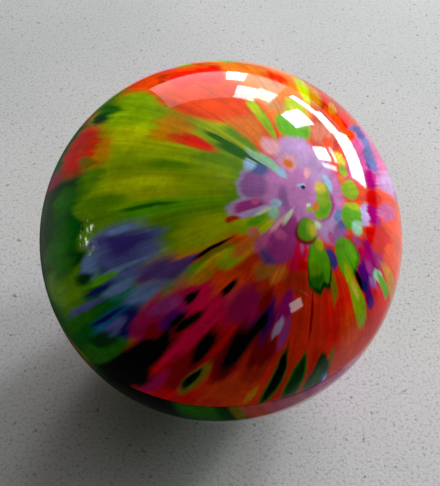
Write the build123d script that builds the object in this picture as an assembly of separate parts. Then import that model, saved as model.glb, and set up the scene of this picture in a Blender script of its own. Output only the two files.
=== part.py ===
from build123d import *
import math
import os

# Hard-shell juggling ball, in millimetres. The origin is the ball's centre and +Z is up, square to the
# parting plane. Two moulded half shells lap at the parting plane and are cemented there. Loose filling
# lies in the bottom of the hollow, and a plug closes the hole it was poured through.

BALL_DIAMETER = 72.0
WALL = 2.4

# Lap joint: the lower shell's tongue stands inside the upper shell's socket.
TONGUE_HEIGHT = 3.0
TONGUE_THICKNESS = 1.1
CEMENT_GAP = 0.15
SOCKET_SPARE_DEPTH = 0.3
LIP_EDGE_RADIUS = 0.25
CEMENT_RECESS = 0.1

# Filling hole at the bottom pole, and its flat-headed plug.
HOLE_DIAMETER = 5.6
PLUG_HEAD_DIAMETER = 8.0
PLUG_HEAD_THICKNESS = 0.9
PLUG_EDGE_RADIUS = 0.15

# Loose filling, and the gap that lets it shift round the hollow.
FILLING_DEPTH = 26.0
FILLING_CLEARANCE = 0.3

OUTER_RADIUS = BALL_DIAMETER / 2
INNER_RADIUS = OUTER_RADIUS - WALL
TONGUE_RADIUS = INNER_RADIUS + TONGUE_THICKNESS
SOCKET_RADIUS = TONGUE_RADIUS + CEMENT_GAP
LIP_HEIGHT = CEMENT_GAP / 2
FILLING_RADIUS = INNER_RADIUS - FILLING_CLEARANCE
PLUG_HEAD_RADIUS = PLUG_HEAD_DIAMETER / 2
FOOT_HEIGHT = -math.sqrt(OUTER_RADIUS**2 - PLUG_HEAD_RADIUS**2)


def standing_cylinder(radius, bottom, top):
    """A cylinder on the ball's axis between two heights."""
    rise = top - bottom
    return Pos(0, 0, bottom) * Cylinder(radius, rise, align=(Align.CENTER, Align.CENTER, Align.MIN))


def half_shell(keep, lip_height):
    """Half of the hollow ball, cut off level at its lip."""
    hollow_ball = Sphere(OUTER_RADIUS) - Sphere(INNER_RADIUS)
    return split(hollow_ball, bisect_by=Plane.XY.offset(lip_height), keep=keep)


def round_lip_edge(shell):
    """Round the outer edge of the flat lip, so that the two lips leave a fine groove."""
    lip = shell.faces().filter_by(GeomType.PLANE)[0]
    return fillet(lip.outer_wire().edges(), LIP_EDGE_RADIUS)


def make_upper_shell():
    shell = round_lip_edge(half_shell(Keep.TOP, LIP_HEIGHT))
    socket = standing_cylinder(SOCKET_RADIUS, 0, TONGUE_HEIGHT + SOCKET_SPARE_DEPTH)
    return shell - socket


def make_lower_shell():
    shell = round_lip_edge(half_shell(Keep.BOTTOM, -LIP_HEIGHT))
    tongue = standing_cylinder(TONGUE_RADIUS, -TONGUE_HEIGHT, TONGUE_HEIGHT) - Sphere(INNER_RADIUS)
    head_seat = standing_cylinder(PLUG_HEAD_RADIUS, -OUTER_RADIUS, FOOT_HEIGHT + PLUG_HEAD_THICKNESS)
    filling_hole = standing_cylinder(HOLE_DIAMETER / 2, -OUTER_RADIUS, WALL - INNER_RADIUS)
    return shell + tongue - head_seat - filling_hole


def make_seam_cement():
    """A thin sleeve round the tongue, with a flange that shows at the bottom of the groove."""
    flange_radius = OUTER_RADIUS - LIP_EDGE_RADIUS - CEMENT_RECESS
    sleeve = standing_cylinder(SOCKET_RADIUS, -LIP_HEIGHT, TONGUE_HEIGHT)
    flange = standing_cylinder(flange_radius, -LIP_HEIGHT, LIP_HEIGHT)
    return sleeve + flange - standing_cylinder(TONGUE_RADIUS, -LIP_HEIGHT, TONGUE_HEIGHT)


def make_filler_plug():
    """A headed plug whose flat head is the one small face that the ball can stand on."""
    head = standing_cylinder(PLUG_HEAD_RADIUS, FOOT_HEIGHT, FOOT_HEIGHT + PLUG_HEAD_THICKNESS)
    plug = head + standing_cylinder(HOLE_DIAMETER / 2, FOOT_HEIGHT, -INNER_RADIUS)
    inner_end_edge = plug.edges().filter_by(GeomType.CIRCLE).sort_by(Axis.Z)[-1]
    return chamfer(inner_end_edge, PLUG_EDGE_RADIUS)


def make_filling():
    """The loose grains as one body, settled level in the bottom of the hollow."""
    level = FILLING_DEPTH - FILLING_RADIUS
    return split(Sphere(FILLING_RADIUS), bisect_by=Plane.XY.offset(level), keep=Keep.BOTTOM)


SUB_PARTS = {
    "upper_shell": make_upper_shell,
    "lower_shell": make_lower_shell,
    "seam_cement": make_seam_cement,
    "filler_plug": make_filler_plug,
    "filling": make_filling,
}

os.makedirs("parts", exist_ok=True)
for name, make in SUB_PARTS.items():
    export_step(make(), f"parts/{name}.step")
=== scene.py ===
import math
import random

import bpy
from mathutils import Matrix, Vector, noise


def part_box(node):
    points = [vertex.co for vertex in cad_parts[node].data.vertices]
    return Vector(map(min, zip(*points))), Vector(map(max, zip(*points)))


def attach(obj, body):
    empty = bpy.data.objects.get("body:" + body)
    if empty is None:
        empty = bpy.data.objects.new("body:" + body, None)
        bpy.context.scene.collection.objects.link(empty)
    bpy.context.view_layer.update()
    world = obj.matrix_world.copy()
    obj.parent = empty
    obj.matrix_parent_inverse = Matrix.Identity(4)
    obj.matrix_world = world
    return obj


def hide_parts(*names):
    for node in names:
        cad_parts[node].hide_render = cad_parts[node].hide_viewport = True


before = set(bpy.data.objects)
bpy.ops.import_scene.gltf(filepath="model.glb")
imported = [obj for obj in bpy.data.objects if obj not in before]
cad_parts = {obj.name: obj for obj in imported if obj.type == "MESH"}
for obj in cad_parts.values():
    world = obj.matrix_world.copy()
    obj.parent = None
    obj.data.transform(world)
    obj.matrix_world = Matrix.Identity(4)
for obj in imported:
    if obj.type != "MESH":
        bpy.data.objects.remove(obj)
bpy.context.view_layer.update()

# Sizes, in metres, from the frame. The ball's centre is the frame's origin.
SHELL_LOW, SHELL_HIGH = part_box("upper_shell")
PLUG_LOW, PLUG_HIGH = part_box("filler_plug")
FILLING_LOW, FILLING_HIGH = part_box("filling")
_, CEMENT_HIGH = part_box("seam_cement")
BALL_RADIUS = SHELL_HIGH.z
LIP_HEIGHT = SHELL_LOW.z
TONGUE_TOP = CEMENT_HIGH.z
FLANGE_RADIUS = CEMENT_HIGH.x
FOOT_HEIGHT = PLUG_LOW.z
PLUG_TOP = PLUG_HIGH.z
PLUG_HEAD_RADIUS = (PLUG_HIGH.x - PLUG_LOW.x) / 2
FILLING_RADIUS = -FILLING_LOW.z
FILLING_LEVEL = FILLING_HIGH.z

# Sizes that the boxes don't give, the same as in the CAD model.
WALL = 0.0024
TONGUE_THICKNESS = 0.0011
CEMENT_GAP = 0.00015
SOCKET_SPARE_DEPTH = 0.0003
LIP_EDGE_RADIUS = 0.00025
PLUG_SHANK_RADIUS = 0.0028
PLUG_HEAD_THICKNESS = 0.0009
PLUG_EDGE_RADIUS = 0.00015

INNER_RADIUS = BALL_RADIUS - WALL
TONGUE_RADIUS = INNER_RADIUS + TONGUE_THICKNESS
SOCKET_RADIUS = TONGUE_RADIUS + CEMENT_GAP
SOCKET_TOP = TONGUE_TOP + SOCKET_SPARE_DEPTH
PLUG_SEAT_HEIGHT = FOOT_HEIGHT + PLUG_HEAD_THICKNESS

TURN = 2 * math.pi


# ---------------------------------------------------------------- meshes

# A profile point nearer the axis than this, in metres, is on it.
ON_AXIS = 1e-7


def arc(radius, start, end, steps, centre=(0.0, 0.0)):
    """Points (distance from the axis, height) on an arc. Angles are in degrees up from level."""
    points = []
    for step in range(steps + 1):
        angle = math.radians(start + (end - start) * step / steps)
        points.append((centre[0] + radius * math.cos(angle), centre[1] + radius * math.sin(angle)))
    return points


def level_on_sphere(radius, height):
    """Angle up from level, in degrees, of the sphere's circle at this height."""
    return math.degrees(math.asin(height / radius))


def join_rings(first, second, segments):
    """Faces between two rings, either of which may be a single vertex on the axis."""
    faces = []
    for segment in range(segments):
        after = (segment + 1) % segments
        if len(first) == 1:
            faces.append((first[0], second[segment], second[after]))
        elif len(second) == 1:
            faces.append((first[segment], second[0], first[after]))
        else:
            faces.append((first[segment], second[segment], second[after], first[after]))
    return faces


def turned_rings(profile, segments):
    """Vertices of a profile turned about Z, and the ring of them that each of its points becomes."""
    vertices = []
    rings = []
    for distance, height in profile:
        if distance < ON_AXIS:
            rings.append([len(vertices)])
            vertices.append((0.0, 0.0, height))
            continue
        ring = []
        for segment in range(segments):
            angle = TURN * segment / segments
            ring.append(len(vertices))
            vertices.append((distance * math.cos(angle), distance * math.sin(angle), height))
        rings.append(ring)
    return vertices, rings


def spin(name, profile, segments, sharp_angle=25.0):
    """Turn a profile of (distance from the axis, height) about Z. One that stays off the axis is closed."""
    vertices, rings = turned_rings(profile, segments)
    pairs = list(zip(rings, rings[1:]))
    if len(rings[0]) > 1:
        pairs.append((rings[-1], rings[0]))
    faces = []
    for first, second in pairs:
        faces += join_rings(first, second, segments)
    mesh = bpy.data.meshes.new(name)
    mesh.from_pydata(vertices, [], faces)
    mesh.update()
    mesh.shade_smooth()
    mesh.set_sharp_from_angle(angle=math.radians(sharp_angle))
    piece = bpy.data.objects.new(name, mesh)
    bpy.context.scene.collection.objects.link(piece)
    return piece


def stand_in(piece, node, body, material):
    """Show this piece in place of a CAD node."""
    piece.data.materials.append(material)
    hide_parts(node)
    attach(piece, body)
    return piece


# ---------------------------------------------------------------- shader wiring

def linear(colour):
    """An sRGB colour of three parts up to 255, as linear light."""
    parts = []
    for part in colour:
        part = part / 255
        parts.append(part / 12.92 if part <= 0.04045 else ((part + 0.055) / 1.055) ** 2.4)
    return (*parts, 1.0)


class Graph:
    """Short names for adding and joining the nodes of one material, world or lamp."""

    def __init__(self, tree):
        self.tree = tree

    def node(self, kind, **settings):
        made = self.tree.nodes.new("ShaderNode" + kind)
        for key, value in settings.items():
            setattr(made, key, value)
        return made

    def feed(self, socket, value):
        if isinstance(value, bpy.types.NodeSocket):
            self.tree.links.new(value, socket)
        else:
            socket.default_value = value

    def math(self, operation, *values):
        made = self.node("Math", operation=operation)
        for socket, value in zip(made.inputs, values):
            self.feed(socket, value)
        return made.outputs[0]

    def vector(self, operation, *values):
        made = self.node("VectorMath", operation=operation)
        for socket, value in zip(made.inputs, values):
            self.feed(socket, value)
        single = operation in ("DOT_PRODUCT", "LENGTH", "DISTANCE")
        return made.outputs["Value" if single else "Vector"]

    def scaled(self, vector, amount):
        made = self.node("VectorMath", operation="SCALE")
        self.feed(made.inputs["Vector"], vector)
        self.feed(made.inputs["Scale"], amount)
        return made.outputs["Vector"]

    def combine(self, x, y, z):
        made = self.node("CombineXYZ")
        for socket, value in zip(made.inputs, (x, y, z)):
            self.feed(socket, value)
        return made.outputs[0]

    def ramp(self, value, low, high, to_low=0.0, to_high=1.0, smooth=True):
        """Map low..high to to_low..to_high. A smooth ramp levels off at its ends by itself."""
        kind = "SMOOTHSTEP" if smooth else "LINEAR"
        made = self.node("MapRange", interpolation_type=kind, clamp=not smooth)
        for socket, given in zip(made.inputs, (value, low, high, to_low, to_high)):
            self.feed(socket, given)
        return made.outputs[0]

    def mix(self, factor, first, second):
        made = self.node("Mix", data_type="RGBA")
        self.feed(made.inputs[0], factor)
        self.feed(made.inputs[6], first)
        self.feed(made.inputs[7], second)
        return made.outputs[2]

    def noise(self, vector, scale, detail=3.0, roughness=0.5):
        made = self.node("TexNoise", noise_dimensions="3D")
        self.feed(made.inputs["Vector"], vector)
        made.inputs["Scale"].default_value = scale
        made.inputs["Detail"].default_value = detail
        made.inputs["Roughness"].default_value = roughness
        return made

    def split(self, vector):
        made = self.node("SeparateXYZ")
        self.feed(made.inputs[0], vector)
        return made.outputs[0], made.outputs[1], made.outputs[2]

    def place(self):
        return self.node("TexCoord").outputs["Object"]

    def bump(self, height, strength, distance, normal=None):
        made = self.node("Bump")
        self.feed(made.inputs["Height"], height)
        made.inputs["Strength"].default_value = strength
        made.inputs["Distance"].default_value = distance
        if normal is not None:
            self.feed(made.inputs["Normal"], normal)
        return made.outputs[0]


def new_material(name, **sockets):
    """A material with one Principled shader, the graph to build its inputs with, and the shader."""
    material = bpy.data.materials.new(name)
    material.use_nodes = True
    graph = Graph(material.node_tree)
    shader = material.node_tree.nodes["Principled BSDF"]
    for key, value in sockets.items():
        shader.inputs[key.replace("_", " ")].default_value = value
    return material, graph, shader


# ---------------------------------------------------------------- marbling

# Pigments, as sRGB.
MAUVE = (208, 130, 196)
LILAC = (200, 156, 210)
LAVENDER = (194, 168, 216)
PURPLE = (160, 98, 166)
PLUM = (174, 54, 138)
DUSK = (92, 66, 134)
INDIGO = (66, 50, 140)
VIOLET = (84, 0, 112)
NAVY = (20, 24, 100)
SLATE = (92, 100, 166)
STEEL = (112, 142, 196)
SKY = (172, 208, 238)
LAGOON = (0, 112, 176)
TEAL = (30, 128, 104)
MINT = (166, 222, 180)
CREAM = (222, 226, 194)
LIME = (146, 186, 0)
LEAF = (96, 174, 0)
MOSS = (150, 178, 0)
FERN = (102, 152, 0)
FOREST = (36, 112, 0)
PINE = (0, 58, 10)
BOTTLE = (0, 96, 12)
OLIVE = (136, 118, 0)
CITRON = (176, 192, 0)
LEMON = (198, 210, 0)
YELLOW = (226, 206, 60)
OCHRE = (180, 104, 30)
AMBER = (214, 138, 0)
ORANGE = (236, 120, 32)
TAN = (214, 138, 76)
FLAME = (244, 70, 0)
VERMILION = (234, 44, 0)
SCARLET = (248, 24, 0)
RED = (226, 2, 2)
RUST = (196, 44, 4)
BLOOD = (142, 0, 4)
CRIMSON = (236, 0, 72)
CERISE = (176, 8, 84)
MAGENTA = (176, 0, 116)
SALMON = (226, 122, 92)
BLUSH = (244, 172, 184)
MADDER = (205, 85, 118)
BRICK = (200, 84, 66)
ROSE = (214, 92, 156)
NIGHT = (2, 2, 3)

# Streaks of the upper shell, painted one over another. Each has its colour, then in degrees the bearing
# round the gate (0 to the right, 90 away), the distance from the gate, the half width and the half length,
# and last the softness of its edge, as a share of its size.
UPPER_STREAKS = [
    # the wide sectors, out to the parting line
    (MOSS, 130, 38, 38, 44, 0.2),
    (FLAME, 82, 60, 14, 62, 0.3),
    (ORANGE, 52, 60, 20, 60, 0.3),
    (RUST, 22, 60, 16, 60, 0.3),
    (ROSE, 350, 60, 18, 44, 0.3),
    (FLAME, 312, 50, 22, 50, 0.2),
    (BOTTLE, 150, 86, 44, 26, 0.3),
    (BOTTLE, 168, 80, 16, 34, 0.3),
    (RED, 205, 56, 18, 40, 0.2),
    (VERMILION, 224, 50, 12, 40, 0.4),
    (VERMILION, 246, 48, 16, 34, 0.2),
    (VERMILION, 268, 48, 14, 38, 0.3),
    (RED, 286, 46, 12, 30, 0.3),
    # the green fan on the left
    (FERN, 134, 21, 24, 8, 0.9),
    (CITRON, 118, 44, 5, 14, 0.5),
    (LIME, 107, 52, 9, 13, 0.6),
    (FERN, 101, 74, 6, 10, 0.8),
    (FLAME, 92.5, 48, 5, 12, 0.5),
    (FLAME, 96.5, 43.5, 2.8, 5, 0.8),
    (LEMON, 117, 49, 5, 9, 1.0),
    (CITRON, 101, 26, 6, 8, 0.6),
    (FERN, 127.5, 37, 2.0, 7, 1.0),
    (CITRON, 138, 41, 7, 13, 0.8),
    (LEMON, 135, 38, 2.5, 8, 0.9),
    (FERN, 141.5, 52, 2.6, 9, 1.0),
    (MOSS, 134, 24, 12, 6, 1.0),
    (LEAF, 147, 40, 3.5, 14, 0.9),
    (FOREST, 145.8, 42, 0.9, 9, 0.9),
    (FERN, 156, 31, 8, 11, 0.9),
    (FERN, 134, 61, 9, 4, 0.9),
    (FERN, 148, 56, 5, 8, 0.9),
    (CITRON, 164, 26, 9, 8, 0.9),
    (OLIVE, 178, 28, 4, 6, 0.7),
    (LEAF, 179, 38, 4, 7, 0.6),
    (LEMON, 180, 28, 2.5, 6, 0.8),
    (FOREST, 108, 20, 4, 5, 0.6),
    (FOREST, 106, 25, 1.6, 5, 0.8),
    (FERN, 97, 22, 4, 6, 0.8),
    # orange and red islands in the green
    (AMBER, 110, 38, 7, 6, 0.7),
    (FLAME, 113.5, 31, 3.4, 6.5, 0.6),
    (SCARLET, 113, 30, 2, 4, 0.9),
    (FLAME, 95, 38, 7, 9, 0.6),
    (AMBER, 122, 60, 6, 6, 0.9),
    (RED, 121, 70, 9, 9, 0.7),
    (VERMILION, 122, 65, 6, 4, 0.9),
    (OLIVE, 126.4, 64, 2.2, 3, 1.0),
    (CERISE, 130, 82, 4, 7, 0.8),
    (FOREST, 107, 66, 5, 6, 0.9),
    (PINE, 110, 67, 2.5, 4, 0.9),
    (PINE, 133.5, 78, 2.5, 14, 0.8),
    # the dark green edge on the far left
    (PINE, 148, 84, 12, 10, 0.9),
    (PINE, 139, 79, 4, 6, 0.9),
    (LEAF, 163, 66, 2, 8, 0.9),
    (FERN, 160, 78, 4, 16, 0.9),
    (FOREST, 152, 76, 3, 12, 0.9),
    (FOREST, 172, 76, 3, 12, 0.9),
    (PINE, 156, 68, 2, 6, 0.9),
    (BOTTLE, 145, 67, 9, 3.5, 0.9),
    (FOREST, 138, 69, 4, 8, 1.0),
    (FOREST, 154, 75, 9, 7, 1.0),
    (FERN, 165, 76, 5, 10, 1.0),
    # slate and blue on the left
    (SLATE, 158, 48, 8, 10.5, 0.6),
    (INDIGO, 157, 48, 4, 6, 1.0),
    (STEEL, 160, 60, 3.5, 3.5, 0.9),
    (STEEL, 152, 45, 1.2, 5, 0.9),
    (DUSK, 172, 41, 6, 6, 0.9),
    (SLATE, 168, 51, 2.4, 7, 0.9),
    (TEAL, 171, 53, 3, 6, 1.0),
    (STEEL, 176, 50, 3.2, 6, 0.9),
    (STEEL, 164.3, 51, 0.8, 6, 1.0),
    (LEAF, 165, 59, 1.2, 6, 0.9),
    (NAVY, 167.8, 60, 1.0, 7, 0.9),
    (SLATE, 170.2, 68, 0.9, 11, 1.0),
    (STEEL, 170, 52, 1.3, 5, 1.0),
    (LAGOON, 178, 61, 3.2, 7, 1.0),
    (NAVY, 180, 58, 3, 7, 0.9),
    (NAVY, 176, 63, 0.9, 6, 0.9),
    (PINE, 162.3, 63.4, 2.0, 4, 1.0),
    (STEEL, 182, 68, 1.2, 6, 0.9),
    (FOREST, 182, 80, 2.4, 14, 0.9),
    (FOREST, 183, 66, 3.6, 7, 0.9),
    (NAVY, 182.4, 60, 2.0, 4, 1.0),
    (SLATE, 179.6, 62, 1.6, 4, 1.0),
    (PINE, 181, 69, 2.4, 6, 0.9),
    (PINE, 187, 84, 3, 9, 0.9),
    (NIGHT, 173.6, 29, 1.0, 8, 0.9),
    (DUSK, 172.6, 37, 2.4, 5, 0.9),
    # crimson and purple below the gate
    (FLAME, 192, 29, 12, 6, 0.8),
    (CRIMSON, 190, 38, 11, 6, 0.8),
    (CRIMSON, 197, 47, 3, 13, 0.8),
    (CERISE, 208, 32, 10, 6, 0.9),
    (CERISE, 184, 46, 5, 9, 0.8),
    (PLUM, 183, 44, 2.4, 5, 1.0),
    (CERISE, 185, 54, 3, 6, 0.8),
    (BLOOD, 203, 58, 4, 10, 0.9),
    (CERISE, 200, 70, 2, 8, 0.9),
    (BLOOD, 213, 51, 5, 5, 0.9),
    (BLOOD, 224, 43, 6, 6, 0.9),
    (RUST, 225, 50, 3, 3.4, 1.0),
    (VIOLET, 219, 34, 5, 6, 0.9),
    (AMBER, 188, 20, 6, 3.5, 0.7),
    (CITRON, 184, 24, 4, 4, 0.7),
    (RUST, 195, 22, 5, 3.5, 0.8),
    (OCHRE, 208, 22, 9, 3, 0.8),
    (ORANGE, 217, 21, 5, 2.5, 0.8),
    (RUST, 212, 26, 5, 2.5, 0.8),
    (BLOOD, 215, 28.4, 3, 3.6, 1.0),
    (AMBER, 182.6, 31.4, 2.6, 3, 1.0),
    # the black tongue and blots at the lower left
    (NIGHT, 191, 60, 4.6, 14, 0.5),
    (NIGHT, 191, 80, 7, 22, 0.4),
    (NIGHT, 196.4, 71, 2.4, 5, 0.9),
    (FOREST, 185, 76, 1.4, 10, 1.0),
    (BLOOD, 187, 53, 2.4, 3, 1.0),
    (VIOLET, 187.6, 46, 2.2, 4.6, 1.0),
    (NIGHT, 189, 45, 1.4, 4, 1.0),
    (NIGHT, 192, 42, 2.2, 5, 0.9),
    (NIGHT, 186, 38, 1.4, 2, 0.9),
    (NIGHT, 213.5, 42.5, 4.6, 8, 0.9),
    (NIGHT, 217, 36.4, 3.4, 4.6, 0.9),
    (NIGHT, 203, 46.6, 3.0, 6.4, 0.9),
    (NIGHT, 195, 30.5, 1.7, 3, 0.8),
    (OLIVE, 208, 60, 2.8, 7.5, 0.7),
    (PINE, 207, 60.5, 1.8, 5, 0.6),
    (NIGHT, 207, 60, 1.0, 4, 0.8),
    # reds at the lower right, with dark wedges at the parting line
    (RUST, 230, 22, 9, 4, 0.9),
    (FLAME, 222, 60, 9, 7, 0.9),
    (FOREST, 233.6, 53, 2.4, 12, 0.5),
    (NIGHT, 233.6, 51, 1.6, 11, 0.6),
    (FOREST, 241.5, 55, 3.6, 11, 0.4),
    (PINE, 241.5, 54, 2.6, 9, 0.7),
    (PINE, 251, 54, 4.4, 8, 0.4),
    (BOTTLE, 249, 57, 3, 4, 0.8),
    (LAGOON, 254, 57, 1.6, 3, 0.9),
    (SKY, 255, 58.5, 0.8, 2, 0.9),
    (OLIVE, 255.5, 46, 1.1, 7, 0.9),
    (AMBER, 228, 61, 1.4, 4, 0.7),
    (BLOOD, 242.5, 32, 0.8, 8, 0.8),
    (SCARLET, 258, 34, 9, 9, 0.8),
    (OLIVE, 258, 25.5, 2.6, 4.6, 0.8),
    (FLAME, 264, 43, 5, 9, 1.0),
    (LIME, 271.6, 35, 3.8, 11, 0.5),
    (YELLOW, 272, 28, 1.8, 6, 0.8),
    (MAGENTA, 227, 29, 4, 4.5, 0.5),
    (LAVENDER, 226.5, 34.5, 2.0, 3, 0.7),
    (PLUM, 230.5, 37, 1.8, 5, 0.7),
    # right of the gate
    (CERISE, 285, 26, 7, 4, 0.5),
    (MAGENTA, 296, 29, 6, 6, 0.5),
    (VIOLET, 284, 31, 7, 5.5, 0.5),
    (NIGHT, 277, 29, 1.8, 5, 0.5),
    (NAVY, 279, 33, 2, 3, 0.7),
    (VIOLET, 279, 39, 3, 4, 0.7),
    (PURPLE, 284.6, 35, 2.2, 3, 1.0),
    (PLUM, 288, 29.6, 2.4, 3, 1.0),
    (RED, 283, 42, 2, 6, 0.6),
    (MINT, 289, 35, 2.6, 2.5, 0.8),
    (LEAF, 289.5, 41, 2.2, 6, 0.6),
    (AMBER, 295, 44, 3, 9, 0.7),
    (RED, 305, 29, 8, 6, 0.3),
    (MAGENTA, 318, 25, 7, 4.5, 0.5),
    (LAVENDER, 316, 21, 8, 2, 0.7),
    (RED, 329, 25.5, 6, 4, 0.4),
    (MAGENTA, 341, 27, 6, 4, 0.5),
    (ROSE, 322, 33, 5, 5, 0.7),
    (LILAC, 338, 41, 6, 9, 0.8),
    (PLUM, 333, 50, 2.5, 8, 0.7),
    (ROSE, 351, 42, 6, 12, 0.7),
    (VIOLET, 349, 31.5, 2.6, 3.6, 0.6),
    (SLATE, 2, 35.5, 10, 4.4, 0.6),
    (SLATE, 350, 32.5, 6, 3.2, 0.8),
    (INDIGO, 6, 37, 3.4, 4, 0.9),
    (ROSE, 3, 30, 4, 3, 0.7),
    (FLAME, 18, 31, 12, 3, 0.6),
    (RED, 15, 38, 3.6, 5, 0.5),
    (AMBER, 22.5, 36, 2.5, 4, 0.7),
    (RED, 27.5, 40, 2.6, 5, 0.5),
    (AMBER, 34, 40, 5, 8, 0.7),
    (LEMON, 38, 42, 3, 10, 0.6),
    (VERMILION, 50, 43, 5.5, 5, 1.0),
    (TAN, 58, 36, 4, 5, 0.8),
    (TAN, 14, 25, 16, 2, 0.8),
    (SALMON, 28, 21, 10, 4, 0.8),
    (FLAME, 20, 19, 6, 2, 0.8),
    (YELLOW, 4, 17.5, 8, 1.6, 0.8),
    # far from the gate at the top and the right
    (SCARLET, 80, 51, 11, 6.5, 0.35),
    (RUST, 88, 58, 4, 1.6, 1.0),
    (FERN, 62, 62, 5, 5, 0.6),
    (ORANGE, 86, 23, 9, 7, 0.7),
    (FLAME, 84, 30, 5, 5, 0.7),
    (LIME, 73, 24, 3.4, 8, 0.4),
    (LEMON, 73, 28, 2.2, 3.4, 1.0),
    (LEAF, 52, 20, 15, 5, 0.4),
    (CITRON, 48, 27, 9, 3, 0.6),
    (TAN, 60, 28, 6, 2.5, 0.8),
    # the purple heart, and what lies in it
    (MAUVE, 0, 0, 400, 12.5, 0.3),
    (LILAC, 56, 12, 27, 4.6, 0.5),
    (BLUSH, 82, 15, 9, 2.6, 0.9),
    (LAVENDER, 134, 13.9, 18, 3.4, 0.5),
    (PURPLE, 134, 13, 18, 3.6, 0.6),
    (LAVENDER, 156, 15.6, 8.5, 4.6, 0.5),
    (PLUM, 157, 14.6, 8, 4.2, 0.6),
    (ROSE, 152, 12.6, 4, 1.2, 1.0),
    (ROSE, 194, 15, 11, 4, 0.6),
    (PLUM, 209, 12, 17, 6.4, 0.35),
    (DUSK, 203, 18.2, 8, 1.8, 1.0),
    (PLUM, 206, 16.2, 7, 1.8, 1.0),
    (ROSE, 200, 12, 8, 1.2, 0.9),
    (LILAC, 280, 11, 18, 4.5, 0.5),
    (ROSE, 272, 13.5, 4, 2, 0.9),
    (LILAC, 22, 9, 22, 4, 0.8),
    (BLUSH, 38, 6.4, 9, 1.6, 0.9),
    (BLUSH, 73, 9.4, 14, 2.4, 0.9),
    (ORANGE, 75, 9, 8, 1.4, 1.0),
    (SLATE, 112, 13.4, 9, 3.0, 0.7),
    (SKY, 112, 15.6, 8, 1.6, 0.8),
    (MINT, 98.5, 11, 6.4, 4.8, 0.6),
    (SKY, 97, 7.8, 8, 1.4, 0.9),
    (MINT, 102, 14.4, 3.4, 4, 0.7),
    (FOREST, 107, 15.5, 1.4, 3, 0.9),
    # the pale fringe and the green beak on the heart's lower left
    (PURPLE, 156, 5.4, 34, 1.2, 1.0),
    (SKY, 162, 7.6, 9, 1.5, 0.8),
    (LAVENDER, 163, 13.4, 3.4, 5, 0.9),
    (CREAM, 196, 7, 5, 2.4, 1.0),
    (BLUSH, 190, 10.4, 3.4, 2.6, 1.0),
    (LIME, 173, 14.4, 7.4, 5.6, 0.6),
    (LEAF, 172, 14, 4, 3, 1.0),
    (LEMON, 183, 13, 3.6, 3, 0.9),
    (MINT, 175, 9.2, 9, 1.5, 0.9),
    (CREAM, 166, 11.2, 2.6, 2.8, 1.0),
    (SALMON, 181, 16.5, 6, 1.6, 0.8),
    (ORANGE, 184, 20, 4, 3.4, 0.8),
    (RUST, 163.5, 19.5, 2.4, 1.8, 0.7),
    (CITRON, 168, 19, 3.4, 3, 0.7),
    # crimson between the lobes
    (CRIMSON, 230, 14, 8, 3.2, 0.6),
    (ROSE, 232, 12.6, 2.6, 2, 1.0),
    (RED, 231, 17.6, 8, 1.6, 0.6),
    (CRIMSON, 225, 17.4, 4, 2.2, 0.9),
    (ROSE, 240, 12.2, 3.5, 1.2, 0.8),
    (INDIGO, 262, 18, 5, 3, 0.6),
    (PURPLE, 286, 14.2, 11, 2.2, 0.9),
    (SLATE, 292, 13.6, 5, 1.4, 1.0),
    (STEEL, 300, 11.4, 10, 1.2, 0.8),
    (SKY, 350, 8.6, 17, 1.0, 0.6),
    (LAVENDER, 312, 21, 7, 2, 0.7),
    (RUST, 290, 19.5, 3.5, 2, 0.7),
    (PLUM, 292, 20.8, 2.6, 1.8, 1.0),
    # the green lobes round the gate
    (PINE, 248.5, 18.4, 11.4, 7.0, 0.2),
    (LEAF, 249, 17.4, 10.4, 5.8, 0.25),
    (CITRON, 254, 13, 5, 1.6, 0.8),
    (FERN, 244, 19.5, 4, 2.4, 0.8),
    (FOREST, 246, 21.8, 6, 1.6, 1.0),
    (FOREST, 277, 20.6, 11, 5.2, 0.3),
    (LEAF, 276.6, 20, 10.4, 4.8, 0.3),
    (CITRON, 271.5, 24, 3, 3, 0.8),
    (LEAF, 308, 16, 14.5, 3.8, 0.25),
    (MINT, 301, 19.4, 6, 2.2, 0.7),
    (CITRON, 319, 16, 3.5, 3, 0.8),
    (LIME, 335, 15.6, 9.5, 3.4, 0.3),
    (ORANGE, 347, 13.6, 6, 1.1, 0.8),
    (LIME, 354, 16, 6, 1.4, 0.7),
    (BLOOD, 238, 9.2, 20, 3.5, 0.3),
    (LEAF, 240, 8.7, 18, 3.0, 0.3),
    (CITRON, 249, 8.6, 10, 2.2, 0.9),
    (YELLOW, 252, 9.4, 6, 1.4, 0.9),
    (CREAM, 263, 8.6, 6, 1.2, 1.0),
    (PLUM, 300, 6.8, 34, 2.9, 0.5),
    (LIME, 294, 6.2, 29, 2.6, 0.4),
    (LEAF, 300, 6.8, 22, 1.6, 0.9),
    (LIME, 328, 5.8, 30, 2.1, 0.5),
    (LIME, 262, 3.8, 16, 0.6, 0.9),
    (ORANGE, 286, 4.3, 13, 0.9, 0.9),
    (YELLOW, 348, 5.4, 17, 1.6, 0.9),
    (CREAM, 266, 2.7, 14, 0.5, 1.0),
    # a painted glint on the gate's pinch: a pale blue arc, with a dark navy arc just inside it
    (SKY, 60, 2.7, 26, 0.5, 0.8),
    (NAVY, 48, 2.1, 18, 0.6, 0.8),
]

ALL_PIGMENTS = [MAUVE, PURPLE, PLUM, SLATE, STEEL, LAGOON, MINT, LIME, LEAF, MOSS, FOREST, BOTTLE, CITRON,
                AMBER, ORANGE, FLAME, VERMILION, SCARLET, RED, CRIMSON, CERISE, ROSE, INDIGO, NIGHT]
WIDE_PIGMENTS = [PLUM, MOSS, FOREST, BOTTLE, LIME, ORANGE, FLAME, VERMILION, RED, CRIMSON, MAUVE, LAGOON]
DARK_PIGMENTS = [NIGHT, PINE, NAVY, BLOOD, VIOLET, FOREST]
DARK_SHARE = 0.2
SECTOR_DISTANCE = 62


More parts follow.
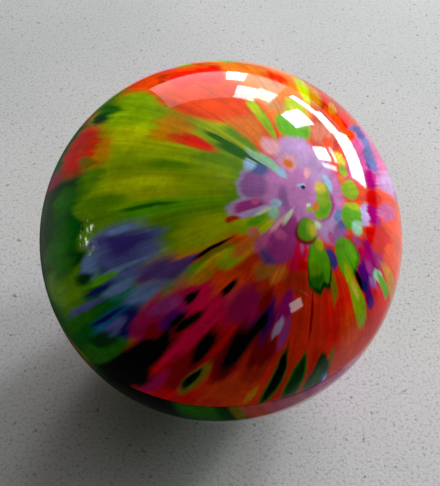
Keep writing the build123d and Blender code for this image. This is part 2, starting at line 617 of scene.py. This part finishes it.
def sectors(seed, count, half_length):
    """Broad wedges of pigment that cover every bearing round a gate."""
    draw = random.Random(seed)
    width = 360 / count
    wedges = []
    for index in range(count):
        pigment = draw.choice(WIDE_PIGMENTS)
        bearing = width * (index + draw.uniform(-0.3, 0.3))
        half_width = width * draw.uniform(0.7, 1.0)
        wedges.append((pigment, bearing, SECTOR_DISTANCE, half_width, half_length, 0.4))
    return wedges


def scattered(seed, count, bearings, distances, slim=1.0, drawn_out=1.0):
    """Streaks strewn between two bearings and two distances, one in five of them dark."""
    draw = random.Random(seed)
    strewn = []
    for _ in range(count):
        pigment = draw.choice(DARK_PIGMENTS if draw.random() < DARK_SHARE else ALL_PIGMENTS)
        bearing = draw.uniform(*bearings) % 360
        distance = draw.uniform(*distances)
        half_width = slim * draw.uniform(1.2, 4.5) * (1 + 8 / distance)
        half_length = drawn_out * draw.uniform(4, 12) * min(1.0, 0.3 + distance / 60)
        strewn.append((pigment, bearing, distance, half_width, half_length, draw.uniform(0.5, 0.95)))
    return strewn


# The upper shell's back and sides, out of the photograph's view.
UPPER_BACK_STREAKS = (
    scattered(21, 12, (-20, 86), (92, 112), 2.2, 1.9)
    + scattered(22, 46, (-20, 88), (72, 116), 0.9, 1.2)
    + scattered(33, 26, (292, 350), (64, 92), 0.9, 1.1)
    + scattered(41, 10, (90, 140), (110, 124), 1.1)
)

# Streaks of the lower shell, in the same terms round its own gate: wedges, then strewn streaks, then those
# beside the gate. From VERMILION on they are what the photograph shows under the parting line, and the
# very last one is painted shade: it darkens the front of the shell below that, so that its bounce keeps the
# floor's shadow dark.
LOWER_STREAKS = sectors(12, 15, 64)
LOWER_STREAKS += scattered(7, 120, (0, 360), (22, 104), 0.9, 1.5)
LOWER_STREAKS += scattered(9, 10, (0, 360), (12, 22))
LOWER_STREAKS += [
    (MOSS, 30, 0, 400, 11, 0.4),
    (LIME, 80, 9, 40, 4, 0.6),
    (MINT, 205, 9, 36, 3, 0.6),
    (SKY, 300, 10, 22, 2, 0.7),
    (FLAME, 145, 8, 22, 2, 0.7),
    (PLUM, 340, 6, 40, 2.4, 0.7),
    (NAVY, 200, 2, 60, 0.8, 0.8),
    (VERMILION, 174, 98, 9, 20, 0.6),
    (SALMON, 190, 98, 14, 24, 0.4),
    (ROSE, 206, 102, 13, 26, 0.3),
    (PINE, 258, 104, 38, 28, 0.2),
    (FOREST, 246, 106, 6, 14, 0.8),
    (OLIVE, 289, 106, 7, 12, 0.8),
    (OLIVE, 234, 106, 2.4, 14, 0.9),
    (BRICK, 227.5, 104, 5.4, 20, 0.4),
    (MADDER, 218.5, 104, 7, 22, 0.5),
    (PLUM, 212, 106, 2.4, 12, 1.0),
    (BLUSH, 198, 104, 3, 12, 1.0),
    (NIGHT, 265, 104, 12, 24, 0.5),
    # painted shade: a broad green patch that darkens the hidden front underside, so that its bounce keeps
    # the floor's shadow dark
    (FOREST, 262, 66, 50, 16, 0.5),
]

# The gates, where the pigments entered each mould: tilt from the shell's pole and turn, in degrees.
UPPER_GATE = (31.4, -46.3)
LOWER_GATE = (20.0, 60.0)


def gate_frame(gate, up):
    """Unit vectors right, away and out at a gate on the upper (up 1) or lower (up -1) shell."""
    tilt, turn = (math.radians(angle) for angle in gate)
    out = Vector((math.sin(tilt) * math.cos(turn), math.sin(tilt) * math.sin(turn), up * math.cos(tilt)))
    right = Vector((-math.sin(turn), math.cos(turn), 0.0))
    return right, out.cross(right), out


def gate_coordinates(graph, point, gate, up):
    """A point's bearing and distance round a gate, in degrees, and its offsets right and away."""
    right, away, out = gate_frame(gate, up)
    x = graph.vector("DOT_PRODUCT", point, right)
    y = graph.vector("DOT_PRODUCT", point, away)
    z = graph.vector("DOT_PRODUCT", point, out)
    bearing = graph.math("DEGREES", graph.math("ARCTAN2", y, x))
    distance = graph.math("DEGREES", graph.math("ARCCOSINE", z))
    return bearing, distance, x, y


# How far the flow dragged the pigments' edges, in degrees of bearing and of distance.
STRAND_SWING = 2.6
STRAND_DRAG = (0.8, 18.0)
SWAY_SWING = 1.6
SWAY_DRAG = (1.6, 3.0)
# For each degree of distance, the drawn-out noise moves on by this much.
FLOW_PITCH = 0.0014


def dragged(graph, far, drag):
    """A reach that grows from near the gate to far from it."""
    near_reach, more_when_far = drag
    return graph.math("MULTIPLY_ADD", far, more_when_far, near_reach)


def swirl_places(graph, gate, up):
    """Where a point lies round its gate: (bearing, distance, 0) in degrees, ragged as the pigment flowed,
    and a vector for noise that is drawn out along the flow."""
    point = graph.vector("NORMALIZE", graph.place())
    bearing, distance, x, y = gate_coordinates(graph, point, gate, up)
    around = graph.vector("NORMALIZE", graph.combine(x, y, 0.0))
    flow_x, flow_y, _ = graph.split(around)
    flow = graph.combine(flow_x, flow_y, graph.math("MULTIPLY", distance, FLOW_PITCH))
    strands = graph.noise(flow, 11.0, detail=4.0, roughness=0.54).outputs["Color"]
    sway = graph.noise(point, 5.0, detail=2.0).outputs["Color"]
    far = graph.ramp(distance, 12.0, 44.0)
    off_the_gate = graph.math("MAXIMUM", graph.vector("LENGTH", graph.combine(x, y, 0.0)), 0.05)
    strand_reach = graph.combine(STRAND_SWING, dragged(graph, far, STRAND_DRAG), 0.0)
    sway_swing = graph.math("DIVIDE", SWAY_SWING, off_the_gate)
    sway_reach = graph.combine(sway_swing, dragged(graph, far, SWAY_DRAG), 0.0)
    middle = (0.5, 0.5, 0.5)
    strand_shift = graph.vector("MULTIPLY", graph.vector("SUBTRACT", strands, middle), strand_reach)
    sway_shift = graph.vector("MULTIPLY", graph.vector("SUBTRACT", sway, middle), sway_reach)
    shift = graph.vector("ADD", strand_shift, sway_shift)
    place = graph.vector("ADD", graph.combine(bearing, distance, 0.0), shift)
    return place, flow


def paint_streak(graph, under, place, streak):
    """Lay one soft-edged oval of pigment over what is under it."""
    colour, bearing, distance, half_width, half_length, softness = streak
    near = graph.vector("WRAP", place, (bearing + 180, 1000, 1), (bearing - 180, -1000, -1))
    across = (1 / half_width, 1 / half_length, 0)
    centre = (-bearing / half_width, -distance / half_length, 0)
    reach = graph.vector("LENGTH", graph.vector("MULTIPLY_ADD", near, across, centre))
    cover = graph.ramp(reach, 1 + softness / 2, 1 - softness / 2)
    return graph.mix(cover, under, linear(colour))


def scratches_in_polish(graph, spot):
    """Hairlines along the edges of bent cells, in patches: 1 on a scratch, 0 beside it."""
    bent = graph.vector("ADD", spot, graph.scaled(graph.noise(spot, 60.0).outputs["Color"], 0.004))
    cells = graph.node("TexVoronoi", feature="DISTANCE_TO_EDGE")
    graph.feed(cells.inputs["Vector"], bent)
    cells.inputs["Scale"].default_value = 75.0
    lines = graph.ramp(cells.outputs["Distance"], 0.012, 0.004)
    patches = graph.ramp(graph.noise(spot, 42.0).outputs[0], 0.54, 0.62)
    return graph.math("MULTIPLY", lines, patches)


# The gate's scar is a ring this many degrees from its middle, with soft sides.
SCAR_RADIUS = 1.3
SCAR_SIDES = (0.35, 0.05)


def add_wear(graph, shader, distance):
    """Faint scuffs and hairline scratches in the polish, orange peel, and the small scar of the gate."""
    spot = graph.place()
    smudges = graph.noise(spot, 70.0, detail=4.0, roughness=0.7).outputs[0]
    scratches = scratches_in_polish(graph, spot)
    roughness = graph.ramp(smudges, 0.35, 0.75, 0.035, 0.085, smooth=False)
    graph.feed(shader.inputs["Roughness"], graph.math("MULTIPLY_ADD", scratches, 0.12, roughness))
    peel = graph.noise(spot, 260.0, detail=2.0).outputs[0]
    normal = graph.bump(peel, strength=0.1, distance=0.0001)
    normal = graph.bump(graph.math("SUBTRACT", 1.0, scratches), 0.15, 0.00002, normal)
    off_the_ring = graph.math("ABSOLUTE", graph.math("SUBTRACT", distance, SCAR_RADIUS))
    scar = graph.ramp(off_the_ring, *SCAR_SIDES)
    graph.feed(shader.inputs["Normal"], graph.bump(scar, 0.2, 0.00002, normal))


def flow_shade(graph, flow, distance):
    """How the flow and the plastic's own grain lighten and darken the pigments, as a factor near 1."""
    strand = graph.noise(flow, 26.0, detail=3.0, roughness=0.6).outputs[0]
    band = graph.noise(flow, 5.0, detail=2.0).outputs[0]
    cloud = graph.noise(graph.place(), 300.0, detail=4.0, roughness=0.7).outputs[0]
    mottle = graph.noise(graph.place(), 900.0, detail=2.0, roughness=0.7).outputs[0]
    shade = graph.ramp(strand, 0.3, 0.7, 0.82, 1.2, smooth=False)
    shade = graph.math("MULTIPLY", shade, graph.ramp(band, 0.3, 0.7, 0.84, 1.2, smooth=False))
    hairlines = graph.ramp(graph.noise(flow, 17.0, detail=2.0).outputs[0], 0.37, 0.29, 1.0, 0.88)
    shade = graph.math("MULTIPLY", shade, hairlines)
    streaming = graph.ramp(distance, 5.0, 28.0, 0.3, 1.0)
    shade = graph.math("MULTIPLY_ADD", graph.math("SUBTRACT", shade, 1.0), streaming, 1.0)
    shade = graph.math("MULTIPLY", shade, graph.ramp(cloud, 0.3, 0.7, 0.8, 1.16, smooth=False))
    return graph.math("MULTIPLY", shade, graph.ramp(mottle, 0.3, 0.7, 0.93, 1.07, smooth=False))


def marbled_plastic(name, gate, up, ground, streaks):
    """Glossy plastic whose pigments streamed outwards from the gate as the shell was moulded."""
    material, graph, shader = new_material(name, IOR=1.4)
    place, flow = swirl_places(graph, gate, up)
    colour = linear(ground)
    for streak in streaks:
        colour = paint_streak(graph, colour, place, streak)
    _, distance, _ = graph.split(place)
    graph.feed(shader.inputs["Base Color"], graph.scaled(colour, flow_shade(graph, flow, distance)))
    add_wear(graph, shader, distance)
    return material


def seam_cement_plastic():
    """Satin brown cement, uneven in tone and paler where dust stuck to it."""
    material, graph, shader = new_material("seam_cement", Roughness=0.4, IOR=1.45)
    dust = graph.noise(graph.place(), 1400.0, detail=3.0, roughness=0.7).outputs[0]
    runs = graph.noise(graph.place(), 160.0, detail=2.0).outputs[0]
    colour = graph.mix(graph.ramp(runs, 0.35, 0.65), linear((96, 72, 58)), linear((58, 44, 38)))
    colour = graph.mix(graph.ramp(dust, 0.5, 0.72, 0.0, 0.6), colour, linear((150, 140, 126)))
    graph.feed(shader.inputs["Base Color"], colour)
    graph.feed(shader.inputs["Roughness"], graph.ramp(dust, 0.3, 0.7, 0.32, 0.55, smooth=False))
    graph.feed(shader.inputs["Normal"], graph.bump(dust, 0.3, 0.00003))
    return material


def plug_plastic():
    """Matte dark plastic with a spark-eroded grain, and an uneven blush that is rougher and paler."""
    material, graph, shader = new_material("plug_plastic", Roughness=0.6, IOR=1.45)
    grain = graph.noise(graph.place(), 2600.0, detail=2.0, roughness=0.7).outputs[0]
    blush = graph.noise(graph.place(), 240.0, detail=3.0).outputs[0]
    colour = graph.mix(graph.ramp(blush, 0.35, 0.7), linear((44, 48, 56)), linear((62, 66, 74)))
    colour = graph.mix(graph.ramp(grain, 0.55, 0.75, 0.0, 0.35), colour, linear((96, 98, 102)))
    graph.feed(shader.inputs["Base Color"], colour)
    graph.feed(shader.inputs["Roughness"], graph.ramp(blush, 0.3, 0.7, 0.5, 0.7, smooth=False))
    graph.feed(shader.inputs["Normal"], graph.bump(grain, 0.4, 0.00004))
    return material


def grain_plastic():
    """Matte pellets. Each takes its tint from the mesh, and has its own fine speckle."""
    material, graph, shader = new_material("loose_grains", Roughness=0.75, IOR=1.45)
    tint = graph.node("Attribute", attribute_name="grain_tint").outputs["Fac"]
    fine = graph.noise(graph.place(), 1900.0, detail=3.0, roughness=0.65).outputs[0]
    lightness = graph.ramp(tint, 0.1, 0.9, smooth=False)
    colour = graph.mix(lightness, linear((196, 168, 112)), linear((234, 220, 184)))
    colour = graph.mix(graph.ramp(fine, 0.55, 0.75, 0.0, 0.5), colour, linear((150, 118, 70)))
    graph.feed(shader.inputs["Base Color"], colour)
    graph.feed(shader.inputs["Roughness"], graph.ramp(fine, 0.3, 0.7, 0.65, 0.85, smooth=False))
    graph.feed(shader.inputs["Normal"], graph.bump(fine, 0.35, 0.00006))
    return material


# ---------------------------------------------------------------- the pieces

# Segments round each turned piece, and steps along the arcs of its profile.
SEGMENTS = 256
PLUG_SEGMENTS = 96
BED_SEGMENTS = 320
OUTSIDE_STEPS = 90
UPPER_INSIDE_STEPS = 40
LOWER_INSIDE_STEPS = 44
EDGE_STEPS = 5
MOULDED_STEPS = 8


def make_upper_shell():
    """The half shell above the groove, from its top down the outside, round the lip and up the inside."""
    lip = LIP_HEIGHT
    edge = LIP_EDGE_RADIUS
    outside = arc(BALL_RADIUS, 90, level_on_sphere(BALL_RADIUS, lip + edge), OUTSIDE_STEPS)
    rounding = arc(edge, 0, -90, EDGE_STEPS, centre=(outside[-1][0] - edge, lip + edge))
    inside = arc(INNER_RADIUS, level_on_sphere(INNER_RADIUS, SOCKET_TOP), 90, UPPER_INSIDE_STEPS)
    profile = outside[:-1] + rounding + [(SOCKET_RADIUS, lip), (SOCKET_RADIUS, SOCKET_TOP)] + inside
    profile[0] = (0.0, BALL_RADIUS)
    profile[-1] = (0.0, INNER_RADIUS)
    return spin("upper_shell_skin", profile, SEGMENTS)


def make_lower_shell():
    """The half shell under the groove, with the tongue, and the hole and the seat for the plug."""
    lip = -LIP_HEIGHT
    edge = LIP_EDGE_RADIUS
    foot_edge = level_on_sphere(BALL_RADIUS, FOOT_HEIGHT)
    outside = arc(BALL_RADIUS, foot_edge, level_on_sphere(BALL_RADIUS, lip - edge), OUTSIDE_STEPS)
    rounding = arc(edge, 0, 90, EDGE_STEPS, centre=(outside[-1][0] - edge, lip - edge))
    hole_edge = math.degrees(math.acos(PLUG_SHANK_RADIUS / INNER_RADIUS))
    inside = arc(INNER_RADIUS, level_on_sphere(INNER_RADIUS, TONGUE_TOP), -hole_edge, LOWER_INSIDE_STEPS)
    profile = outside[:-1] + rounding + [(TONGUE_RADIUS, lip), (TONGUE_RADIUS, TONGUE_TOP)] + inside
    profile += [(PLUG_SHANK_RADIUS, PLUG_SEAT_HEIGHT), (PLUG_HEAD_RADIUS, PLUG_SEAT_HEIGHT)]
    return spin("lower_shell_skin", profile, SEGMENTS)


# The bead's hollow, its unevenness, and how closely its uneven places follow one another.
BEAD_HOLLOW = 0.00003
BEAD_UNEVENNESS = 0.00006
BEAD_SCALE = 300.0


def make_seam_cement():
    """A sleeve round the tongue and a bead, slightly hollow and uneven, that shows in the groove."""
    flange = FLANGE_RADIUS
    lip = LIP_HEIGHT
    profile = [(TONGUE_RADIUS, TONGUE_TOP), (SOCKET_RADIUS, TONGUE_TOP), (SOCKET_RADIUS, lip)]
    profile += [(flange, lip), (flange - BEAD_HOLLOW, 0.0), (flange, -lip), (TONGUE_RADIUS, -lip)]
    piece = spin("seam_cement_bead", profile, SEGMENTS)
    for vertex in piece.data.vertices:
        reach = math.hypot(vertex.co.x, vertex.co.y)
        if reach > SOCKET_RADIUS + BEAD_HOLLOW:
            dip = BEAD_UNEVENNESS * (0.5 + 0.5 * noise.noise(vertex.co * BEAD_SCALE))
            vertex.co.xy *= 1 - dip / reach
    return piece


# The ring moulded in the plug's foot, and the dimple in its middle.
RING_RADIUS = 0.0025
RING_DEPTH = 0.00022
DIMPLE_RADIUS = 0.0011
DIMPLE_DEPTH = 0.00028


def make_filler_plug():
    """The plug, with a softened rim, a moulded ring and the dimple of its own gate in its flat foot."""
    head = PLUG_HEAD_RADIUS
    shank = PLUG_SHANK_RADIUS
    foot = FOOT_HEIGHT
    edge = PLUG_EDGE_RADIUS
    rim = arc(edge, 0, -90, EDGE_STEPS, centre=(head - edge, foot + edge))
    ring = arc(RING_DEPTH, 0, 180, MOULDED_STEPS, centre=(RING_RADIUS, foot))
    dimple = [(DIMPLE_RADIUS * across, foot + DIMPLE_DEPTH * up)
              for across, up in arc(1.0, 0, 80, MOULDED_STEPS)]
    profile = [(0.0, PLUG_TOP), (shank - edge, PLUG_TOP), (shank, PLUG_TOP - edge)]
    profile += [(shank, PLUG_SEAT_HEIGHT), (head, PLUG_SEAT_HEIGHT)]
    profile += rim + ring + dimple + [(0.0, foot + DIMPLE_DEPTH)]
    return spin("filler_plug_moulding", profile, PLUG_SEGMENTS, sharp_angle=40.0)


# A grain's middle stands proud. The skin is sunk by the full grain depth from this many grain sizes away.
GRAIN_SIZE = 0.0026
GRAIN_DEPTH = 0.0006
GRAIN_REACH = 0.7
# How deep the bed's broad dips are, and how closely they follow one another.
BED_DIPS = 0.0016
DIPS_SCALE = 90.0
BED_TOP_STEPS = 52
BED_SIDE_STEPS = 74
# A point within this height of the bed's level is on its top, where the skin sinks downwards, and by this
# share of that towards the ball's centre too.
AT_LEVEL = 1e-6
TOP_INWARD_SHARE = 0.3


def make_filling():
    """The bed of grains: a closed skin inside the CAD solid, sunk wherever one grain meets the next."""
    radius = FILLING_RADIUS
    level = FILLING_LEVEL
    brim = math.sqrt(radius**2 - level**2)
    top = [(brim * step / BED_TOP_STEPS, level) for step in range(BED_TOP_STEPS)]
    side = arc(radius, level_on_sphere(radius, level), -90, BED_SIDE_STEPS)
    side[-1] = (0.0, -radius)
    piece = spin("grain_bed", top + side, BED_SEGMENTS, sharp_angle=180.0)
    tints = piece.data.attributes.new("grain_tint", "FLOAT", "POINT")
    for vertex, tint in zip(piece.data.vertices, tints.data):
        point = vertex.co.copy()
        gaps, centres = noise.voronoi(point / GRAIN_SIZE)
        tint.value = noise.cell(centres[0] * 7.0)
        sunk = GRAIN_DEPTH * min(1.0, (gaps[0] / GRAIN_REACH) ** 2)
        on_top = point.z > level - AT_LEVEL
        if on_top:
            fade_at_brim = 1 - (math.hypot(point.x, point.y) / brim) ** 4
            sunk += BED_DIPS * max(0.0, noise.noise(point * DIPS_SCALE)) * fade_at_brim
            vertex.co.z -= sunk
        vertex.co -= point.normalized() * sunk * (TOP_INWARD_SHARE if on_top else 1.0)
    return piece


upper_marble = marbled_plastic("upper_marble", UPPER_GATE, 1, FLAME, UPPER_STREAKS + UPPER_BACK_STREAKS)
lower_marble = marbled_plastic("lower_marble", LOWER_GATE, -1, FOREST, LOWER_STREAKS)
BALL_PIECES = [
    stand_in(make_upper_shell(), "upper_shell", "ball", upper_marble),
    stand_in(make_lower_shell(), "lower_shell", "ball", lower_marble),
    stand_in(make_seam_cement(), "seam_cement", "ball", seam_cement_plastic()),
    stand_in(make_filler_plug(), "filler_plug", "ball", plug_plastic()),
    stand_in(make_filling(), "filling", "filling", grain_plastic()),
]


# ---------------------------------------------------------------- floor, light and camera

FLOOR_HALF = 3.0
# The floor lies this far under the plug's foot, so that the two faces aren't in one plane.
FLOOR_GAP = 0.00002


def pale_stone():
    """Pale, speckled stone."""
    material, graph, shader = new_material("pale_stone", Roughness=0.6)
    spot = graph.place()
    broad = graph.noise(spot, 14.0, detail=4.0).outputs[0]
    grain = graph.noise(spot, 1300.0, detail=3.0, roughness=0.75).outputs[0]
    fine = graph.noise(spot, 3000.0, detail=2.0, roughness=0.7).outputs[0]
    specks = graph.noise(spot, 620.0, detail=2.0, roughness=0.6).outputs[0]
    colour = graph.mix(graph.ramp(broad, 0.3, 0.7), linear((198, 200, 198)), linear((210, 210, 208)))
    colour = graph.mix(graph.ramp(grain, 0.5, 0.32, 0.0, 0.6), colour, linear((134, 136, 130)))
    colour = graph.mix(graph.ramp(specks, 0.35, 0.28, 0.0, 0.7), colour, linear((92, 92, 86)))
    colour = graph.scaled(colour, graph.ramp(fine, 0.3, 0.7, 0.86, 1.12, smooth=False))
    graph.feed(shader.inputs["Base Color"], colour)
    graph.feed(shader.inputs["Normal"], graph.bump(grain, 0.2, 0.0002))
    return material


def make_floor():
    """A level square of stone, which the ball's gloss doesn't reflect."""
    half = FLOOR_HALF
    corners = [(-half, -half, 0), (half, -half, 0), (half, half, 0), (-half, half, 0)]
    mesh = bpy.data.meshes.new("floor")
    mesh.from_pydata(corners, [], [(0, 1, 2, 3)])
    floor = bpy.data.objects.new("floor", mesh)
    floor.location.z = FOOT_HEIGHT - FLOOR_GAP
    bpy.context.scene.collection.objects.link(floor)
    mesh.materials.append(pale_stone())
    floor.visible_glossy = False


def direction(azimuth, elevation):
    """Unit vector towards a point of the room: azimuth 0 is away from the camera and 90 is right."""
    azimuth, elevation = math.radians(azimuth), math.radians(elevation)
    level = math.cos(elevation)
    return Vector((level * math.sin(azimuth), level * math.cos(azimuth), math.sin(elevation)))


LAMP_DISTANCE = 2.0
COOL_LIGHT = (0.96, 0.98, 1.0)
FILL_LIGHT = (1.0, 1.0, 0.97)
LEAF_LIGHT = (0.85, 1.0, 0.75)


def soft_box(name, azimuth, elevation, width, height, radiance, colour=COOL_LIGHT):
    """A square-cornered lamp that spans these degrees of the room as seen from the ball."""
    lamp = bpy.data.lights.new(name, "AREA")
    lamp.shape = "RECTANGLE"
    lamp.size = 2 * LAMP_DISTANCE * math.tan(math.radians(width / 2))
    lamp.size_y = 2 * LAMP_DISTANCE * math.tan(math.radians(height / 2))
    lamp.color = colour
    lamp.energy = radiance * math.pi * lamp.size * lamp.size_y
    holder = bpy.data.objects.new(name, lamp)
    towards = direction(azimuth, elevation)
    holder.location = towards * LAMP_DISTANCE
    holder.rotation_mode = "QUATERNION"
    holder.rotation_quaternion = towards.to_track_quat("Z", "Y")
    holder.visible_camera = False
    bpy.context.scene.collection.objects.link(holder)
    return holder


def fill_the_ball():
    """A broad, dim lamp that brightens the ball's shaded side alone, without showing in its gloss."""
    fill = soft_box("left_fill", -60, 32, 110, 70, 0.6, FILL_LIGHT)
    fill.visible_glossy = False
    lit = bpy.data.collections.new("lit_by_fill")
    for piece in BALL_PIECES:
        lit.objects.link(piece)
    fill.light_linking.receiver_collection = lit


# Radiances that the gloss reflects where no lamp is.
DIM_ROOM = (0.022, 0.02, 0.01, 1.0)
WINDOW_WALL = (0.75, 0.76, 0.79, 1.0)
UNDER_THE_HORIZON = (0.012, 0.012, 0.011, 1.0)
SILL = (0.5, 0.5, 0.48, 1.0)
LEFT_FLOOR = (0.11, 0.115, 0.1, 1.0)
RIGHT_FLOOR = (0.24, 0.23, 0.22, 1.0)
FAR_FLOOR = (0.55, 0.55, 0.54, 1.0)


def round_about(graph, towards, middle, edge, core):
    """1 within a cone round a direction and 0 outside it. Its edge and core are cosines."""
    return graph.ramp(graph.vector("DOT_PRODUCT", towards, middle), edge, core)


def paint_the_room():
    """A dim room, brighter near the windows and over the sill, with soft patches for the lit floor."""
    world = bpy.data.worlds.new("room")
    bpy.context.scene.world = world
    world.use_nodes = True
    graph = Graph(world.node_tree)
    background = world.node_tree.nodes["Background"]
    towards = graph.node("TexCoord").outputs["Generated"]
    _, away, height = graph.split(towards)
    near_windows = round_about(graph, towards, direction(45, 30), 0.3, 1.0)
    light = graph.mix(near_windows, DIM_ROOM, WINDOW_WALL)
    light = graph.mix(graph.ramp(height, 0.0, -0.03), light, UNDER_THE_HORIZON)
    beside_sill = round_about(graph, towards, direction(62, -35), 0.55, 0.85)
    on_sill = graph.math("MULTIPLY", graph.ramp(away, 0.05, 0.11), graph.ramp(height, -0.16, -0.21))
    light = graph.mix(graph.math("MULTIPLY", beside_sill, on_sill), light, SILL)
    light = graph.mix(round_about(graph, towards, direction(-57, -24), 0.84, 0.98), light, LEFT_FLOOR)
    light = graph.mix(round_about(graph, towards, direction(92, -54), 0.88, 0.98), light, RIGHT_FLOOR)
    light = graph.mix(round_about(graph, towards, direction(2, -42), 0.92, 0.96), light, FAR_FLOOR)
    graph.feed(background.inputs["Color"], light)


def glint_through_leaves():
    """A lamp behind leaves, which shows only as broken glints in the gloss."""
    leaves = soft_box("leaf_glints", -92, 5, 17, 16, 15, LEAF_LIGHT)
    leaves.visible_diffuse = False
    lamp = leaves.data
    lamp.use_nodes = True
    graph = Graph(lamp.node_tree)
    spot = graph.node("NewGeometry").outputs["Parametric"]
    gaps = graph.ramp(graph.noise(spot, 4.0, detail=3.0, roughness=0.7).outputs[0], 0.54, 0.62)
    middle = graph.ramp(graph.vector("DISTANCE", spot, (0.5, 0.5, 0.0)), 0.5, 0.35)
    graph.feed(lamp.node_tree.nodes["Emission"].inputs["Strength"], graph.math("MULTIPLY", gaps, middle))


def light_the_room():
    """The curtain and the panes, each by azimuth, elevation, width and height in degrees, and radiance."""
    curtain = soft_box("curtain", -1, 17, 42, 31, 1.6)
    curtain.visible_diffuse = False
    soft_box("pane_1", 4.5, 7, 6, 12, 9)
    soft_box("pane_2_left", 10.3, 25, 8, 13, 14)
    soft_box("pane_2_right", 17.5, 22, 7, 11, 12)
    soft_box("pane_3", 35.5, 25.5, 9, 13, 40)
    soft_box("pane_4", 57.5, 27, 7, 8.5, 44)
    soft_box("pane_4_side", 64.5, 25, 2.2, 9, 20)
    soft_box("pane_4_sill", 57, 19.6, 8, 1.8, 20)
    soft_box("low_pane_left", 29, 10.3, 10, 4.2, 18)
    soft_box("low_pane_middle", 38.5, 8.5, 10, 6.8, 19)
    soft_box("low_pane_right", 54, 4.8, 22, 11, 21)
    soft_box("back_pane", 139, 5, 7, 6, 6)
    fill_the_ball()
    glint_through_leaves()
    paint_the_room()


# The photograph's viewing angle. The ball's strong perspective puts the camera at four radii.
CAMERA_DISTANCE = 4 * BALL_RADIUS
CAMERA_ELEVATION = math.radians(53.6)
CAMERA_AIM = Vector((-0.0002, -0.0002, -0.0003))
SENSOR_WIDTH = 36.0
FOCAL_LENGTH = 52.1
NEAREST_SEEN = 0.005


def place_camera():
    """A camera without depth of field, at that angle and aimed almost at the ball's centre."""
    lens = bpy.data.cameras.new("camera")
    lens.sensor_width = SENSOR_WIDTH
    lens.lens = FOCAL_LENGTH
    lens.clip_start = NEAREST_SEEN
    camera = bpy.data.objects.new("camera", lens)
    level = CAMERA_DISTANCE * math.cos(CAMERA_ELEVATION)
    camera.location = (0.0, -level, CAMERA_DISTANCE * math.sin(CAMERA_ELEVATION))
    camera.rotation_mode = "QUATERNION"
    camera.rotation_quaternion = (CAMERA_AIM - camera.location).to_track_quat("-Z", "Y")
    bpy.context.scene.collection.objects.link(camera)
    bpy.context.scene.camera = camera


make_floor()
light_the_room()
place_camera()
bpy.context.scene.view_settings.view_transform = "Standard"
